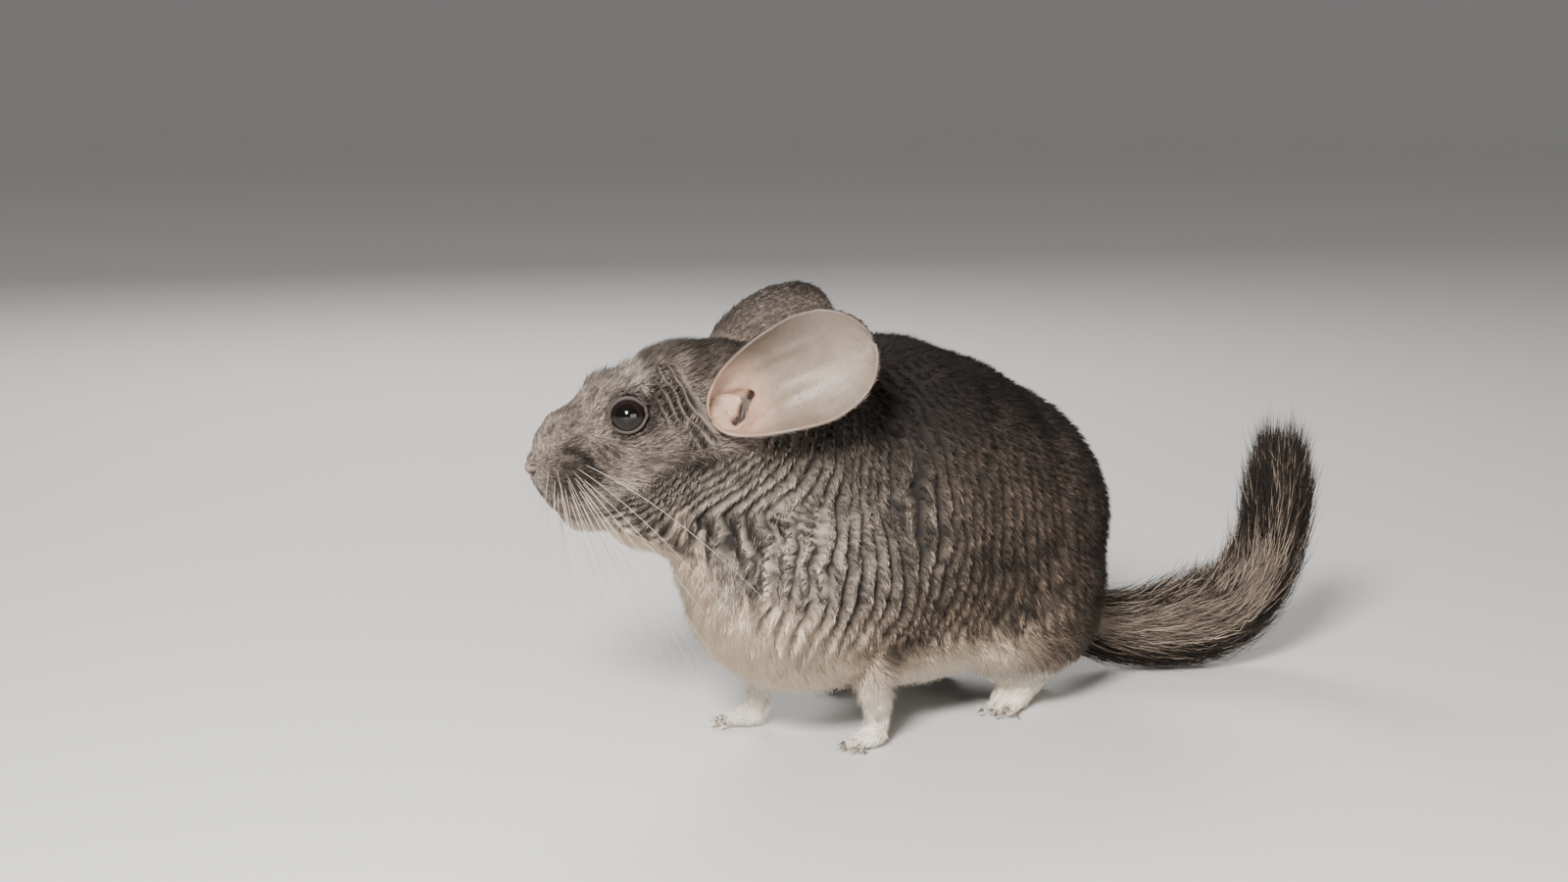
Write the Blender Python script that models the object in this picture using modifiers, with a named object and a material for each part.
"""Adult grey chinchilla, life size, standing on all fours with its head turned to its right.

Units are metres and +Z is up. The head is towards -X and the animal's left side towards -Y.
The feet and the lowest stretch of the tail rest on flats in the plane Z = 0, and the origin is
at the middle of the bottom of the bounding box. The body is shaped whole, from named masses
fused into one surface, and is then parted with thin cuts. That surface is the coat's, not the
skin's. The tail's long bristly hair is built as flat locks on a slender core.
"""

import math
import random
from itertools import pairwise

import bmesh
import bpy
from mathutils import Matrix, Vector
from mathutils.bvhtree import BVHTree

# Driving dimensions. Those in metres end in no unit, and places are written in centimetres.
CM = 0.01
GAP = 0.0003
SPARE = 0.012
HEAD_TURN = math.radians(33.0)
HEAD_DROP = math.radians(9.5)
EYE_RADIUS = 0.0072
EYE_SUNK = 0.50
LID_THICKNESS = 0.0012
LID_STEPS = 18
LIP_THICKNESS = 0.0010
MOUTH_GROOVE = 0.0005
EAR_LENGTH = 0.0545
EAR_HALF_WIDTH = 0.0190
EAR_BOW = 0.003
EAR_FOLD_RADIUS = 0.0019
EAR_ROWS = 13
EAR_COLUMNS = 10
EAR_THICKNESS = 0.0010
EAR_DISH_RADII = (0.0080, 0.0080, 0.0050)
EAR_CANAL_RADIUS = 0.0016
TOE_RADIUS = 0.0024
CLAW_RADIUS = 0.0008
TAIL_SEED = 7
TAIL_CORE_RADIUS = 0.0075
LOCK_HALF_WIDTH = 0.0056
LOCK_THICKNESS = 0.0008
LOCK_LENGTHS = (0.025, 0.032)
LOCK_SPACING = 0.0120
LOCKS_A_ROW = 7
# How far the first row stands after a cut, and how far the last row at least stands before it.
LOCK_AFTER_CUT = 0.0040
LOCK_BEFORE_CUT = 0.0060
FLOOR_PRESS = 0.0004

SIDES = {"left": -1.0, "right": 1.0}

FUR_GREY = (0.20, 0.19, 0.185)
FACE_GREY = (0.36, 0.34, 0.32)
LEG_WHITE = (0.72, 0.68, 0.62)
EAR_SKIN = (0.55, 0.46, 0.40)
EYE_BLACK = (0.012, 0.009, 0.008)
TAIL_DARK = (0.10, 0.09, 0.08)


def at(x, y, z):
    """A point or a set of radii given in centimetres."""
    return Vector((x, y, z)) * CM


# The skull's frame: the origin at the back of the skull, columns forward, left and up.
SKULL_BASE = at(-2.9, 0.55, 12.6)
HEAD_AHEAD = Vector(
    (
        -math.cos(HEAD_TURN) * math.cos(HEAD_DROP),
        math.sin(HEAD_TURN) * math.cos(HEAD_DROP),
        -math.sin(HEAD_DROP),
    )
)
HEAD_LEFT = Vector((-math.sin(HEAD_TURN), -math.cos(HEAD_TURN), 0.0))
HEAD_UP = HEAD_AHEAD.cross(HEAD_LEFT)
HEAD_AXES = Matrix((HEAD_AHEAD, HEAD_LEFT, HEAD_UP)).transposed()


def on_head(ahead, left, up):
    """A point of the head, from centimetres ahead of, left of and above the back of the skull."""
    return SKULL_BASE + HEAD_AXES @ at(ahead, left, up)


def head_direction(ahead, left, up):
    return (HEAD_AXES @ Vector((ahead, left, up))).normalized()


# Where the body is parted: a point of each cut and the direction towards the head.
NAPE_CUT = (on_head(-0.6, 0.0, 0.0), head_direction(0.977, 0.0, 0.213))
COLLAR_CUT = (at(-0.9, 0.0, 10.0), Vector((-0.62, 0.0, 0.785)).normalized())
THIGH_CENTRE = at(8.8, 4.7, 4.9)
THIGH_RADII = at(4.3, 2.6, 3.7)

# Where each ear's back leaves the skull and the direction it leaves in. The ears are held unlike.
EAR_SETS = {
    "left": (on_head(0.30, 2.35, 0.62), head_direction(-0.22, 0.90, 0.38)),
    "right": (on_head(-0.80, -3.05, 0.85), head_direction(-0.50, -0.80, 0.30)),
}

# The tail's middle line from inside the rump, and on past the end of its core.
TAIL_PATH = [
    at(12.4, 0.2, 3.9),
    at(14.1, -0.9, 2.6),
    at(15.9, -2.4, 1.75),
    at(17.9, -4.0, 1.65),
    at(19.8, -5.4, 2.3),
    at(20.9, -6.2, 3.9),
    at(21.2, -6.6, 6.0),
    at(21.1, -6.8, 8.2),
    at(20.9, -6.9, 10.8),
]
TAIL_STEPS = 12
# Distances along the middle line: the core's start, the first lock, the two cuts, the core's end.
TAIL_ROOT = 0.006
TAIL_STARTS = 0.019
TAIL_CUTS = (0.066, 0.110)
TAIL_ENDS = 0.154
# The brush's radius at distances along the middle line.
TAIL_BRUSH = [(0.0, 0.0135), (0.05, 0.0150), (0.088, 0.0185), (0.13, 0.0165), (0.19, 0.0150)]


def clear_scene():
    for old in list(bpy.data.objects):
        bpy.data.objects.remove(old)


def material(name, colour, roughness):
    made = bpy.data.materials.new(name)
    made.use_nodes = True
    shader = made.node_tree.nodes["Principled BSDF"]
    shader.inputs["Base Color"].default_value = (*colour, 1.0)
    shader.inputs["Roughness"].default_value = roughness
    shader.inputs["Metallic"].default_value = 0.0
    return made


def from_bmesh(name, bm, collection):
    bmesh.ops.recalc_face_normals(bm, faces=bm.faces[:])
    mesh = bpy.data.meshes.new(name)
    bm.to_mesh(mesh)
    bm.free()
    made = bpy.data.objects.new(name, mesh)
    collection.objects.link(made)
    return made


def apply_modifiers(piece):
    graph = bpy.context.evaluated_depsgraph_get()
    mesh = bpy.data.meshes.new_from_object(piece.evaluated_get(graph))
    piece.modifiers.clear()
    piece.data = mesh


def copy_of(piece, name):
    made = piece.copy()
    made.data = piece.data.copy()
    made.name = name
    piece.users_collection[0].objects.link(made)
    return made


def grown(piece, margin=GAP):
    """A copy of the piece with its surface moved out by the margin."""
    made = copy_of(piece, piece.name + "_grown")
    swell = made.modifiers.new("Grow", "DISPLACE")
    swell.strength = margin
    swell.mid_level = 0.0
    apply_modifiers(made)
    return made


def combine(piece, other, operation, solver="EXACT"):
    """Joins the piece with the other one or cuts it, and uses the other one up."""
    boolean = piece.modifiers.new("Combine", "BOOLEAN")
    boolean.operation = operation
    boolean.solver = solver
    boolean.object = other
    apply_modifiers(piece)
    bpy.data.objects.remove(other)


def shells_of(bm):
    """The faces of each connected surface, from the smallest to the largest."""
    unseen = set(bm.faces)
    shells = []
    while unseen:
        waiting = [unseen.pop()]
        shell = []
        while waiting:
            face = waiting.pop()
            shell.append(face)
            for edge in face.edges:
                for neighbour in edge.link_faces:
                    if neighbour in unseen:
                        unseen.remove(neighbour)
                        waiting.append(neighbour)
        shells.append(shell)
    shells.sort(key=lambda faces: sum(face.calc_area() for face in faces))
    return shells


def keep_largest(piece):
    """Keeps the largest closed surface, which drops scraps and fills sealed hollows."""
    bm = bmesh.new()
    bm.from_mesh(piece.data)
    for shell in shells_of(bm)[:-1]:
        bmesh.ops.delete(bm, geom=shell, context="FACES")
    bm.to_mesh(piece.data)
    bm.free()


def cut_off(piece, point, normal, inset=GAP / 2):
    """Cuts away what lies ahead of the plane, less the inset, and closes the cut flat."""
    bm = bmesh.new()
    bm.from_mesh(piece.data)
    cut = bmesh.ops.bisect_plane(
        bm,
        geom=bm.verts[:] + bm.edges[:] + bm.faces[:],
        plane_co=point - normal * inset,
        plane_no=normal,
        clear_outer=True,
    )
    rim = [item for item in cut["geom_cut"] if isinstance(item, bmesh.types.BMEdge)]
    bmesh.ops.holes_fill(bm, edges=rim)
    bmesh.ops.triangulate(bm, faces=[face for face in bm.faces if len(face.verts) > 4])
    bmesh.ops.recalc_face_normals(bm, faces=bm.faces[:])
    bm.to_mesh(piece.data)
    bm.free()


def floor_block(collection):
    """A block that fills the space below the floor."""
    bm = bmesh.new()
    place = Matrix.Translation(at(10.0, 0.0, -5.0)) @ Matrix.Diagonal((0.6, 0.6, 0.1, 1.0))
    bmesh.ops.create_cube(bm, size=1.0, matrix=place)
    return from_bmesh("floor_block", bm, collection)


def stand_on_floor(piece):
    cut_off(piece, Vector(), Vector((0.0, 0.0, -1.0)), inset=0.0)


def finish(piece, surface):
    keep_largest(piece)
    piece.data.materials.clear()
    piece.data.materials.append(surface)
    piece.data.shade_smooth()
    piece.data.set_sharp_from_angle(angle=math.radians(50.0))


def add_ball(bm, centre, radii, axes=None, segments=24):
    """An ellipsoid with its own axes, which are the world's unless given."""
    turn = (axes or Matrix.Identity(3)).to_4x4()
    place = Matrix.Translation(centre) @ turn @ Matrix.Diagonal((*radii, 1.0))
    bands = segments * 7 // 12
    bmesh.ops.create_uvsphere(bm, u_segments=segments, v_segments=bands, radius=1.0, matrix=place)


def add_limb(bm, points, radii):
    """A chain of tapering rods with a ball at each joint."""
    for centre, radius in zip(points, radii):
        add_ball(bm, centre, (radius, radius, radius))
    for (start, end), (wide, narrow) in zip(pairwise(points), pairwise(radii)):
        axis = end - start
        turn = axis.to_track_quat("Z", "Y").to_matrix().to_4x4()
        bmesh.ops.create_cone(
            bm,
            cap_ends=True,
            segments=20,
            radius1=wide,
            radius2=narrow,
            depth=axis.length,
            matrix=Matrix.Translation((start + end) / 2) @ turn,
        )


def add_loft(bm, rings, tip=None):
    """Skins a row of like rings of points, capped at the start and at the end or the tip."""
    rows = [[bm.verts.new(point) for point in ring] for ring in rings]
    for row, following in pairwise(rows):
        for (a, b), (c, d) in zip(pairwise(row + row[:1]), pairwise(following + following[:1])):
            bm.faces.new((a, b, d, c))
    bm.faces.new(list(reversed(rows[0])))
    if tip is None:
        bm.faces.new(rows[-1])
        return
    point = bm.verts.new(tip)
    last = rows[-1]
    for a, b in pairwise(last + last[:1]):
        bm.faces.new((a, b, point))


def add_tube(bm, points, radii, sides=6):
    """A round bar through the points, with flat ends."""
    rings = []
    for index, (centre, radius) in enumerate(zip(points, radii)):
        along = points[min(index + 1, len(points) - 1)] - points[max(index - 1, 0)]
        across = along.cross(HEAD_UP if abs(along.normalized().dot(HEAD_UP)) < 0.9 else HEAD_LEFT)
        across.normalize()
        other = along.cross(across).normalized()
        ring = []
        for side in range(sides):
            angle = math.tau * side / sides
            ring.append(centre + radius * (math.cos(angle) * across + math.sin(angle) * other))
        rings.append(ring)
    add_loft(bm, rings)


def fuse(piece, voxel, softening):
    """Fuses overlapping closed shapes into one soft surface."""
    remesh = piece.modifiers.new("Fuse", "REMESH")
    remesh.mode = "VOXEL"
    remesh.voxel_size = voxel
    soften = piece.modifiers.new("Soften", "SMOOTH")
    soften.factor = 0.5
    soften.iterations = softening
    apply_modifiers(piece)


def coarsen_to(piece, triangles):
    """Leaves about so many triangles, the most where the piece bends the most."""
    piece.data.calc_loop_triangles()
    coarsen = piece.modifiers.new("Coarsen", "DECIMATE")
    coarsen.ratio = min(1.0, triangles / len(piece.data.loop_triangles))
    coarsen.use_collapse_triangulate = True
    apply_modifiers(piece)


def add_trunk_masses(bm):
    """Chest, belly, back, rump, shoulders and haunches."""
    add_ball(bm, at(-0.1, 0.0, 7.0), at(5.0, 4.7, 5.0))
    add_ball(bm, at(4.0, 0.0, 8.3), at(6.2, 5.8, 6.5))
    add_ball(bm, at(6.4, 0.0, 7.8), at(6.3, 6.0, 6.2))
    add_ball(bm, at(9.1, 0.0, 6.9), at(6.1, 6.0, 5.8))
    add_ball(bm, at(4.8, 0.0, 6.2), at(6.4, 5.2, 5.0))
    for side in SIDES.values():
        add_ball(bm, at(1.3, 2.6 * side, 6.8), at(3.4, 2.4, 3.8))
        add_ball(bm, at(8.9, 3.3 * side, 4.8), at(4.2, 2.9, 3.9))


def add_neck_masses(bm):
    """A short thick neck that carries the turn of the head."""
    add_limb(
        bm,
        [at(1.7, 0.0, 9.4), at(-0.8, 0.1, 10.7), on_head(1.0, 0.0, -0.5)],
        [0.044, 0.040, 0.033],
    )
    add_ball(bm, at(-2.9, 0.7, 8.2), at(2.6, 3.0, 3.2))


def add_head_masses(bm):
    """Skull, brow, cheeks, muzzle, whisker pads, nose and chin."""
    masses = [
        ((2.1, 0.0, 0.2), (3.0, 2.8, 2.75)),
        ((4.1, 0.0, -0.05), (2.5, 2.35, 2.35)),
        ((5.8, 0.0, -0.50), (2.0, 1.8, 1.95)),
        ((6.6, 0.0, -0.80), (1.35, 1.35, 1.55)),
        ((7.50, 0.0, -0.55), (0.65, 0.60, 0.60)),
        ((5.9, 0.0, -2.4), (1.3, 1.0, 0.85)),
        ((2.9, 0.0, -2.4), (3.1, 2.2, 2.1)),
        ((2.1, 0.0, -2.9), (2.9, 2.3, 2.15)),
        ((1.2, 0.0, -3.5), (2.7, 2.4, 2.05)),
    ]
    for centre, radii in masses:
        add_ball(bm, on_head(*centre), at(*radii), HEAD_AXES)
    for side in SIDES.values():
        add_ball(bm, on_head(3.1, 1.45 * side, -1.1), at(2.5, 1.50, 1.95), HEAD_AXES)
        add_ball(bm, on_head(4.9, 0.95 * side, -1.2), at(2.0, 1.15, 1.50), HEAD_AXES)
        add_ball(bm, on_head(6.5, 0.9 * side, -1.25), at(1.15, 0.9, 1.1), HEAD_AXES)


def shape_body(name, collection, voxel, softening):
    """The trunk, neck and head as one closed surface."""
    bm = bmesh.new()
    add_trunk_masses(bm)
    add_neck_masses(bm)
    add_head_masses(bm)
    body = from_bmesh(name, bm, collection)
    fuse(body, voxel, softening)
    return body


def surface_reader(piece):
    """Returns a function that finds where a line towards a direction first meets the piece."""
    tree = BVHTree.FromObject(piece, bpy.context.evaluated_depsgraph_get())

    def nearest_from_outside(point, inwards):
        hit = tree.ray_cast(point - inwards * 0.05, inwards)[0]
        return point if hit is None else hit

    return nearest_from_outside


def eye_place(side, on_surface):
    """The eyeball's centre and the direction it looks in."""
    looks = head_direction(0.27, -side * 0.94, 0.20)
    surface = on_surface(on_head(4.40, -2.0 * side, 0.95), -looks)
    return surface - looks * EYE_RADIUS * EYE_SUNK, looks


def lid_ring(centre, looks):
    """The rim of both lids: an oval round the eye that lies back against the ball."""
    along = (HEAD_AHEAD - HEAD_AHEAD.dot(looks) * looks).normalized()
    across = looks.cross(along)
    points = []
    for step in range(LID_STEPS):
        angle = math.tau * step / LID_STEPS
        corner = abs(math.cos(angle)) ** 3
        reach = 0.98 * math.cos(angle) * along + 0.88 * math.sin(angle) * across
        points.append(centre + EYE_RADIUS * (reach + looks * (0.54 - 0.14 * corner)))
    return points, along


def add_lids(bm, centre, looks):
    points, along = lid_ring(centre, looks)
    rings = []
    for index, point in enumerate(points):
        following = points[(index + 1) % len(points)] - points[index - 1]
        outward = (point - centre).normalized()
        other = following.cross(outward).normalized()
        ring = []
        for side in range(5):
            angle = math.tau * side / 5
            ring.append(point + LID_THICKNESS * (math.cos(angle) * outward + math.sin(angle) * other))
        rings.append([bm.verts.new(place) for place in ring])
    for row, following in pairwise(rings + rings[:1]):
        for (a, b), (c, d) in zip(pairwise(row + row[:1]), pairwise(following + following[:1])):
            bm.faces.new((a, b, d, c))


def mouth_line(on_surface, raised):
    """Points of the line of the mouth, from the left corner round the front to the right one."""
    points = []
    for step in range(11):
        turn = (step - 5) / 5
        ahead = 7.6 - 2.1 * abs(turn) ** 1.6
        left = -1.45 * turn
        up = -2.05 - 0.25 * abs(turn) + raised
        place = on_head(ahead, left, up)
        inwards = (on_head(5.6, 0.0, up) - place).normalized()
        points.append(on_surface(place, inwards))
    return points


def carve_mouth_and_nose(head, on_surface, collection):
    """Raises both lips and cuts the line of the mouth, the cleft above it and the nostrils."""
    for raised in (0.11, -0.11):
        bm = bmesh.new()
        radii = [LIP_THICKNESS * (1.0 - 0.35 * abs(step - 5) / 5) for step in range(11)]
        add_tube(bm, mouth_line(on_surface, raised), radii)
        combine(head, from_bmesh("lip", bm, collection), "UNION")
    bm = bmesh.new()
    add_tube(bm, mouth_line(on_surface, 0.0), [MOUTH_GROOVE * 1.3] * 11)
    combine(head, from_bmesh("mouth_groove", bm, collection), "DIFFERENCE")
    bm = bmesh.new()
    inwards = -HEAD_AHEAD
    cleft = [on_surface(on_head(8.2, 0.0, up), inwards) for up in (-0.95, -1.25, -1.55, -1.85, -2.05)]
    add_tube(bm, cleft, [MOUTH_GROOVE] * 5)
    combine(head, from_bmesh("lip_cleft", bm, collection), "DIFFERENCE")
    for side in SIDES.values():
        bm = bmesh.new()
        places = [(0.10, -0.78), (0.24, -0.74), (0.36, -0.62), (0.38, -0.46)]
        points = [on_surface(on_head(8.2, -side * left, up), inwards) for left, up in places]
        add_tube(bm, points, [MOUTH_GROOVE * 1.1, MOUTH_GROOVE * 1.6, MOUTH_GROOVE * 1.5, MOUTH_GROOVE])
        combine(head, from_bmesh("nostril", bm, collection), "DIFFERENCE")


def ear_spine(side_name, side):
    """The middle of the ear's back from its root in the skull to its tip, with its directions.

    The ear leaves the skull sideways as a funnel and then sweeps back. Each station holds the
    point, the direction along the ear and the direction out of the cup.
    """
    root, leaves = EAR_SETS[side_name]
    sweeps = head_direction(-0.93, -0.26 * side, 0.26)
    faces = head_direction(0.62, -0.78 * side, 0.05)
    point = root.copy()
    stations = []
    for step in range(EAR_ROWS + 1):
        height = step / EAR_ROWS
        along = leaves.lerp(sweeps, min(1.0, height / 0.45)).normalized()
        opens = (faces - faces.dot(along) * along).normalized()
        stations.append((point.copy(), along, opens))
        point += along * EAR_LENGTH / EAR_ROWS
    return stations


def ear_point(station, height, around):
    """A point of the cup, from one rim at -1 to the other at 1."""
    point, along, opens = station
    across = along.cross(opens)
    half_angle = math.radians(128.0 - 96.0 * min(1.0, height * 1.30) ** 0.8)
    rounding = math.sqrt(max(0.0, 1.0 - max(0.0, (height - 0.55) / 0.45) ** 2.4))
    widening = math.sin(min(1.0, height / 0.62) * math.pi / 2)
    half_width = EAR_HALF_WIDTH * (0.46 + 0.54 * widening) * max(0.05, rounding)
    radius = half_width / math.sin(min(half_angle, math.pi / 2))
    angle = around * half_angle
    bow = EAR_BOW * math.sin(height * math.pi)
    return (
        point
        + across * radius * math.sin(angle)
        + opens * (radius * (1.0 - math.cos(angle)) - bow)
    )


def ear_fold(side, stations, collection):
    """The fleshy ridge beside the ear's opening, low in the cup."""
    points = []
    for row, around, rise in ((2, 0.30, 0.0035), (3, 0.42, 0.0030), (5, 0.55, 0.0014), (7, 0.60, 0.0)):
        station = stations[row]
        wall = ear_point(station, row / EAR_ROWS, -side * around)
        points.append(wall + station[2] * rise)
    bm = bmesh.new()
    add_tube(bm, points, [EAR_FOLD_RADIUS * share for share in (0.9, 1.0, 0.75, 0.4)], sides=7)
    return from_bmesh("ear_fold", bm, collection)


def open_ear_floor(head, side_name, side, on_surface, collection):
    """Dishes the head inside the ear's funnel and cuts the slit of the canal in the dish."""
    root, leaves = EAR_SETS[side_name]
    opens = ear_spine(side_name, side)[0][2]
    floor = on_surface(root + opens * 0.0065, -leaves)
    across = leaves.cross(opens).normalized()
    axes = Matrix((across, opens, leaves)).transposed()
    bm = bmesh.new()
    add_ball(bm, floor + leaves * 0.0012, EAR_DISH_RADII, axes, segments=16)
    combine(head, from_bmesh("ear_dish", bm, collection), "DIFFERENCE")
    bm = bmesh.new()
    for shift in (-0.0024, 0.0, 0.0024):
        start = floor + across * shift
        add_tube(bm, [start, start - leaves * 0.0085], [EAR_CANAL_RADIUS, EAR_CANAL_RADIUS * 0.6], 8)
    canal = from_bmesh("ear_canal", bm, collection)
    fuse(canal, voxel=0.0004, softening=2)
    coarsen_to(canal, 70)
    combine(head, canal, "DIFFERENCE")


def shape_ear(side_name, side, collection):
    """A rolled shell that opens from a funnel into a wide rounded cup, with its inner folds."""
    stations = ear_spine(side_name, side)
    bm = bmesh.new()
    grid = []
    for index, station in enumerate(stations):
        height = index / EAR_ROWS
        places = [2.0 * column / EAR_COLUMNS - 1.0 for column in range(EAR_COLUMNS + 1)]
        grid.append([bm.verts.new(ear_point(station, height, place)) for place in places])
    for lower, upper in pairwise(grid):
        for (a, b), (c, d) in zip(pairwise(lower), pairwise(upper)):
            bm.faces.new((a, b, c))
            bm.faces.new((b, d, c))
    ear = from_bmesh("ear_" + side_name, bm, collection)
    shell = ear.modifiers.new("Shell", "SOLIDIFY")
    shell.thickness = EAR_THICKNESS
    shell.offset = 0.0
    shell.use_even_offset = False
    apply_modifiers(ear)
    combine(ear, ear_fold(side, stations, collection), "UNION")
    return ear


def add_toe(bm, root, heading, length, radius):
    """A toe with a raised knuckle and a short blunt claw."""
    lift = Vector((0.0, 0.0, 1.0))
    knuckle = root + heading * length * 0.45 + lift * radius * 0.55
    end = root + heading * length
    add_limb(bm, [root, knuckle, end], [radius * 1.05, radius, radius * 0.9])
    claw = end + heading * radius * 0.8 + lift * radius * 0.25
    tip = claw + heading * radius * 0.9 - lift * radius * 0.75
    add_limb(bm, [end + lift * radius * 0.3, claw, tip], [CLAW_RADIUS, CLAW_RADIUS, CLAW_RADIUS * 0.7])


def turned(heading, degrees):
    return Matrix.Rotation(math.radians(degrees), 3, "Z") @ heading


def shape_foreleg(side_name, collection):
    """The forearm and paw as one surface."""
    if side_name == "left":
        joints = [at(1.2, -3.0, 5.2), at(0.6, -2.95, 3.8), at(0.55, -2.90, 2.2), at(0.92, -2.78, 1.0)]
        heading = Vector((-1.0, 0.0, 0.0))
    else:
        joints = [at(1.1, 2.7, 5.2), at(0.7, 2.6, 3.8), at(0.25, 2.45, 2.2), at(0.10, 2.35, 1.0)]
        heading = Vector((-0.74, 0.67, 0.0)).normalized()
    bm = bmesh.new()
    add_limb(bm, joints, [0.0105, 0.0080, 0.0062, 0.0056])
    wrist = Vector((joints[-1].x, joints[-1].y, 0.0))
    palm = wrist + heading * 0.0035 + at(0.0, 0.0, 0.42)
    sideways = turned(heading, 90.0)
    axes = Matrix((heading, sideways, Vector((0.0, 0.0, 1.0)))).transposed()
    add_ball(bm, palm, at(0.78, 0.56, 0.52), axes)
    for degrees, reach in ((-28.0, 0.55), (-9.0, 0.72), (10.0, 0.70), (30.0, 0.52)):
        direction = turned(heading, degrees)
        root = palm + direction * 0.0045 - at(0.0, 0.0, 0.20)
        add_toe(bm, root, direction, reach * CM, TOE_RADIUS * 0.85)
    leg = from_bmesh("foreleg_" + side_name, bm, collection)
    fuse(leg, voxel=0.00042, softening=3)
    coarsen_to(leg, 740)
    stand_on_floor(leg)
    return leg, wrist + at(0.0, 0.0, 1.35)


def shape_hind_foot(side_name, collection):
    """The long flat hind foot with its ankle, as one surface."""
    if side_name == "left":
        heel = at(11.4, -1.9, 0.0)
        ball = at(8.15, -3.3, 0.0)
    else:
        heel = at(10.4, 2.2, 0.0)
        ball = at(6.9, 3.4, 0.0)
    heading = (ball - heel).normalized()
    side = SIDES[side_name]
    bm = bmesh.new()
    lift = at(0.0, 0.0, 0.62)
    add_limb(bm, [heel + lift, (heel + ball) / 2 + lift, ball + lift * 0.9], [0.0072, 0.0072, 0.0074])
    add_limb(bm, [heel + lift, heel + at(-0.6, 0.9 * side, 2.4)], [0.0072, 0.0100])
    add_limb(bm, [ball + lift, ball + at(1.6, 0.25 * side, 2.3)], [0.0068, 0.0085])
    for degrees, reach in ((-30.0, 1.05), (-3.0, 1.25), (24.0, 1.10)):
        direction = turned(heading, degrees * side)
        root = ball + direction * 0.0048 + at(0.0, 0.0, 0.27)
        add_toe(bm, root, direction, reach * CM * 0.85, TOE_RADIUS * 1.12)
    inner = turned(heading, 62.0 * side)
    add_toe(bm, ball + inner * 0.0055 + at(0.0, 0.0, 0.30), inner, 0.0032, TOE_RADIUS * 0.75)
    foot = from_bmesh("hindfoot_" + side_name, bm, collection)
    fuse(foot, voxel=0.0005, softening=3)
    coarsen_to(foot, 600)
    stand_on_floor(foot)
    return foot


class TailLine:
    """The tail's middle line, with directions across it that don't twist."""

    def __init__(self):
        ends = [2 * TAIL_PATH[0] - TAIL_PATH[1], *TAIL_PATH, 2 * TAIL_PATH[-1] - TAIL_PATH[-2]]
        self.points = []
        for before, start, end, after in zip(ends, ends[1:], ends[2:], ends[3:]):
            for step in range(TAIL_STEPS):
                t = step / TAIL_STEPS
                bend = (end - before) / 2 * t
                bend += (before - 2.5 * start + 2 * end - after / 2) * t**2
                bend += (1.5 * start - 1.5 * end + after / 2 - before / 2) * t**3
                self.points.append(start + bend)
        self.points.append(TAIL_PATH[-1])
        self.reached = [0.0]
        for start, end in pairwise(self.points):
            self.reached.append(self.reached[-1] + (end - start).length)
        self.across = []
        across = Vector((0.0, 0.0, 1.0))
        for index in range(len(self.points)):
            along = self.direction(index)
            across = (across - across.dot(along) * along).normalized()
            self.across.append(across.copy())

    def direction(self, index):
        last = len(self.points) - 1
        return (self.points[min(index + 1, last)] - self.points[max(index - 1, 0)]).normalized()

    def frame(self, distance):
        """The point at the distance along the line, its direction and the one across."""
        index = 0
        while index < len(self.points) - 2 and self.reached[index + 1] < distance:
            index += 1
        step = self.reached[index + 1] - self.reached[index]
        part = (distance - self.reached[index]) / step
        point = self.points[index].lerp(self.points[index + 1], part)
        mixed = min(1.0, max(0.0, part))
        along = self.direction(index).lerp(self.direction(index + 1), mixed).normalized()
        across = self.across[index].lerp(self.across[index + 1], mixed)
        return point, along, (across - across.dot(along) * along).normalized()

    def place(self, distance, angle, radius):
        """A point beside the line, at an angle from its upper side."""
        point, along, across = self.frame(distance)
        return point + radius * (math.cos(angle) * across + math.sin(angle) * along.cross(across))


def brush_radius(distance):
    """How far the hair reaches from the middle line at the distance along it."""
    for (start, low), (end, high) in pairwise(TAIL_BRUSH):
        if distance <= end:
            return low + (high - low) * (distance - start) / (end - start)
    return TAIL_BRUSH[-1][1]


def core_radius(distance):
    return TAIL_CORE_RADIUS * (1.0 - 0.55 * max(0.0, distance / TAIL_ENDS) ** 2)


def lie_of_hair(root, distance):
    """How far from the middle line a hair that grows at the root passes the distance."""
    run = distance - root
    rise = 1.0 - math.exp(-run / 0.0085)
    core = core_radius(min(distance, TAIL_ENDS))
    return 0.55 * core + (brush_radius(distance) - 0.55 * core) * 0.86 * rise + 0.10 * run


def pressed_lie(line, root, distance, angle):
    """The lie of the hair, pressed flatter where the longest of it would reach past the floor."""
    reach = lie_of_hair(root, distance)
    point, along, across = line.frame(distance)
    down = -(math.cos(angle) * across + math.sin(angle) * along.cross(across)).z
    if down < 0.05:
        return reach
    longest = lie_of_hair(distance - LOCK_LENGTHS[1], distance)
    return reach * min(1.0, (point.z / down + FLOOR_PRESS) / longest)


def add_lock(bm, line, root, angle, length, half_width):
    """A flat lock that leaves the core, bends back along the tail and tapers to its tip."""
    rings = []
    for share, wide in ((0.0, 0.30), (0.24, 0.72), (0.52, 1.0), (0.80, 0.62)):
        distance = root + length * share
        radius = pressed_lie(line, root, distance, angle)
        spread = half_width * wide / radius
        thick = LOCK_THICKNESS * (1.0 - 0.35 * share)
        ring = [
            line.place(distance, angle - spread, radius),
            line.place(distance, angle, radius - thick),
            line.place(distance, angle + spread, radius),
            line.place(distance, angle, radius + thick),
        ]
        rings.append(ring)
    end = root + length
    add_loft(bm, rings, line.place(end, angle, pressed_lie(line, root, end, angle)))


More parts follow.
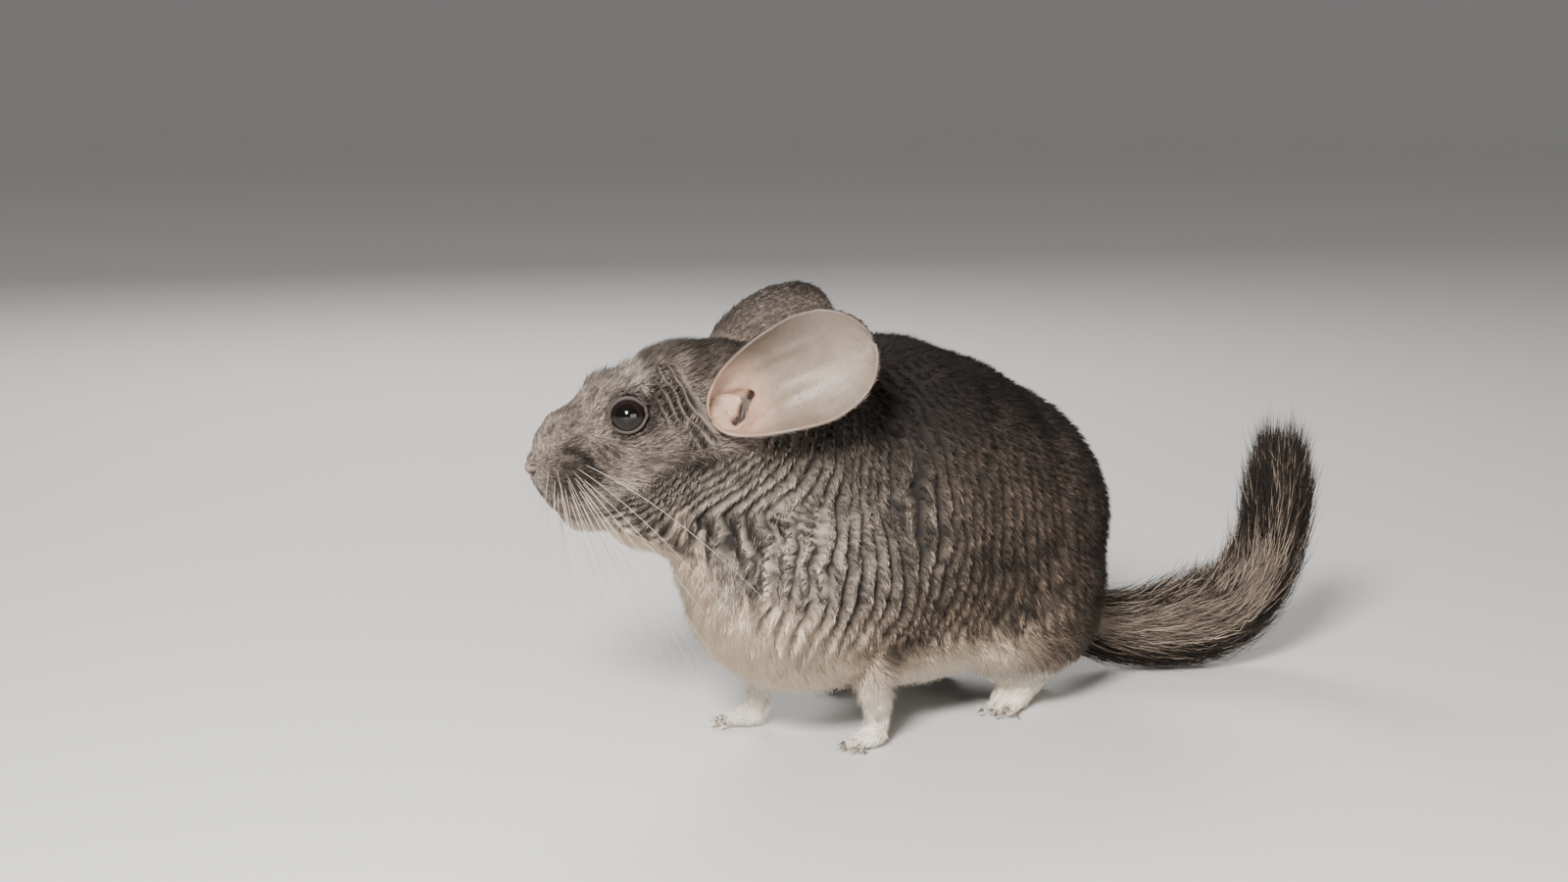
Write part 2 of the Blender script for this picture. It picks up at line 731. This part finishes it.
def shape_tail_length(name, line, start, end, roots, collection):
    """One length of the tail: its stretch of the core, and the locks that grow from it."""
    bm = bmesh.new()
    rings = []
    steps = 7
    for step in range(steps + 1):
        distance = start + (end - start) * step / steps
        radius = core_radius(distance)
        rings.append([line.place(distance, math.tau * side / 12, radius) for side in range(12)])
    rounded_end = end == TAIL_ENDS
    tip = line.frame(end + TAIL_CORE_RADIUS / 2)[0] if rounded_end else None
    add_loft(bm, rings, tip)
    core = from_bmesh(name, bm, collection)
    locks = bpy.data.collections.new(name + "_locks")
    bpy.context.scene.collection.children.link(locks)
    chance = random.Random(TAIL_SEED)
    row = 0
    root, last_root = roots
    while root < last_root:
        for index in range(LOCKS_A_ROW):
            place = index + 0.5 * (row % 2) + chance.uniform(-0.12, 0.12)
            angle = math.tau * place / LOCKS_A_ROW
            bm = bmesh.new()
            add_lock(
                bm,
                line,
                root,
                angle,
                chance.uniform(*LOCK_LENGTHS),
                LOCK_HALF_WIDTH * chance.uniform(0.85, 1.15),
            )
            from_bmesh("lock", bm, locks)
        row += 1
        root += LOCK_SPACING
    join = core.modifiers.new("Locks", "BOOLEAN")
    join.operation = "UNION"
    join.solver = "MANIFOLD"
    join.operand_type = "COLLECTION"
    join.collection = locks
    apply_modifiers(core)
    for lock in list(locks.objects):
        bpy.data.objects.remove(lock)
    bpy.data.collections.remove(locks)
    return core


def shape_thigh(side, collection, margin):
    bm = bmesh.new()
    centre = Vector((THIGH_CENTRE.x, THIGH_CENTRE.y * side, THIGH_CENTRE.z))
    add_ball(bm, centre, THIGH_RADII + Vector((margin, margin, margin)), segments=16)
    return from_bmesh("thigh", bm, collection)


def rest_on_origin(pieces):
    """Moves all pieces alike, to bring the middle of the bounding box's bottom to the origin."""
    places = [vertex.co for piece in pieces for vertex in piece.data.vertices]
    lows = [min(place[axis] for place in places) for axis in range(3)]
    highs = [max(place[axis] for place in places) for axis in range(3)]
    origin = Vector(((lows[0] + highs[0]) / 2, (lows[1] + highs[1]) / 2, lows[2]))
    for piece in pieces:
        piece.data.transform(Matrix.Translation(-origin))


def main():
    clear_scene()
    animal = bpy.data.collections.new("chinchilla")
    bpy.context.scene.collection.children.link(animal)
    coat = material("grey_coat", FUR_GREY, 0.9)
    face = material("face_coat", FACE_GREY, 0.9)
    white = material("white_coat", LEG_WHITE, 0.9)
    skin = material("ear_skin", EAR_SKIN, 0.7)
    wet = material("eye_black", EYE_BLACK, 0.08)
    brush = material("tail_coat", TAIL_DARK, 0.9)

    trunk = shape_body("torso", animal, voxel=0.0016, softening=24)
    coarsen_to(trunk, 2800)
    fine = shape_body("head", animal, voxel=0.0010, softening=34)
    cut_off(fine, NAPE_CUT[0], -NAPE_CUT[1], inset=-SPARE)
    coarsen_to(fine, 1330)
    on_surface = surface_reader(fine)
    keep_clear = grown(fine)

    neck = copy_of(trunk, "neck")
    cut_off(fine, NAPE_CUT[0], -NAPE_CUT[1])
    cut_off(fine, COLLAR_CUT[0], -COLLAR_CUT[1])
    cut_off(neck, *NAPE_CUT)
    cut_off(neck, COLLAR_CUT[0], -COLLAR_CUT[1])
    cut_off(trunk, *COLLAR_CUT)

    for side in SIDES.values():
        centre, looks = eye_place(side, on_surface)
        bm = bmesh.new()
        add_lids(bm, centre, looks)
        combine(fine, from_bmesh("lids", bm, animal), "UNION")
    carve_mouth_and_nose(fine, on_surface, animal)
    for side_name, side in SIDES.items():
        centre, looks = eye_place(side, on_surface)
        bm = bmesh.new()
        reach = EYE_RADIUS + GAP
        add_ball(bm, centre, (reach, reach, reach), segments=16)
        combine(fine, from_bmesh("socket", bm, animal), "DIFFERENCE")
        bm = bmesh.new()
        place = Matrix.Translation(centre)
        bmesh.ops.create_uvsphere(bm, u_segments=14, v_segments=8, radius=EYE_RADIUS, matrix=place)
        finish(from_bmesh("eye_" + side_name, bm, animal), wet)
        open_ear_floor(fine, side_name, side, on_surface, animal)
        ear = shape_ear(side_name, side, animal)
        combine(ear, copy_of(keep_clear, "keep_clear"), "DIFFERENCE")
        combine(ear, grown(neck), "DIFFERENCE")
        keep_largest(ear)
        combine(ear, grown(trunk), "DIFFERENCE")
        finish(ear, skin)
    bpy.data.objects.remove(keep_clear)

    for side_name, side in SIDES.items():
        foreleg, wrist = shape_foreleg(side_name, animal)
        combine(foreleg, grown(trunk), "DIFFERENCE")
        keep_largest(foreleg)
        paw = copy_of(foreleg, "forepaw_" + side_name)
        upwards = Vector((0.0, 0.0, 1.0))
        cut_off(paw, wrist, upwards)
        cut_off(foreleg, wrist, -upwards)
        finish(foreleg, white)
        finish(paw, white)
        foot = shape_hind_foot(side_name, animal)
        combine(foot, grown(trunk), "DIFFERENCE")
        finish(foot, white)

    line = TailLine()
    first, second = TAIL_CUTS
    base_roots = (TAIL_STARTS, first - LOCK_BEFORE_CUT)
    middle_roots = (first + LOCK_AFTER_CUT, second - LOCK_BEFORE_CUT)
    tip_roots = (second + LOCK_AFTER_CUT, TAIL_ENDS)
    lengths = [
        ("tail_base", TAIL_ROOT, first - GAP / 2, base_roots),
        ("tail_middle", first + GAP / 2, second - GAP / 2, middle_roots),
        ("tail_tip", second + GAP / 2, TAIL_ENDS, tip_roots),
    ]
    for name, start, end, roots in lengths:
        piece = shape_tail_length(name, line, start, end, roots, animal)
        if name == "tail_base":
            combine(piece, grown(trunk), "DIFFERENCE", "MANIFOLD")
        combine(piece, floor_block(animal), "DIFFERENCE", "MANIFOLD")
        finish(piece, brush)

    for side_name, side in SIDES.items():
        thigh = copy_of(trunk, "thigh_" + side_name)
        combine(thigh, shape_thigh(side, animal, 0.0), "INTERSECT")
        combine(trunk, shape_thigh(side, animal, GAP), "DIFFERENCE")
        finish(thigh, coat)
    finish(trunk, coat)
    finish(neck, coat)
    finish(fine, face)
    rest_on_origin(animal.objects)


main()
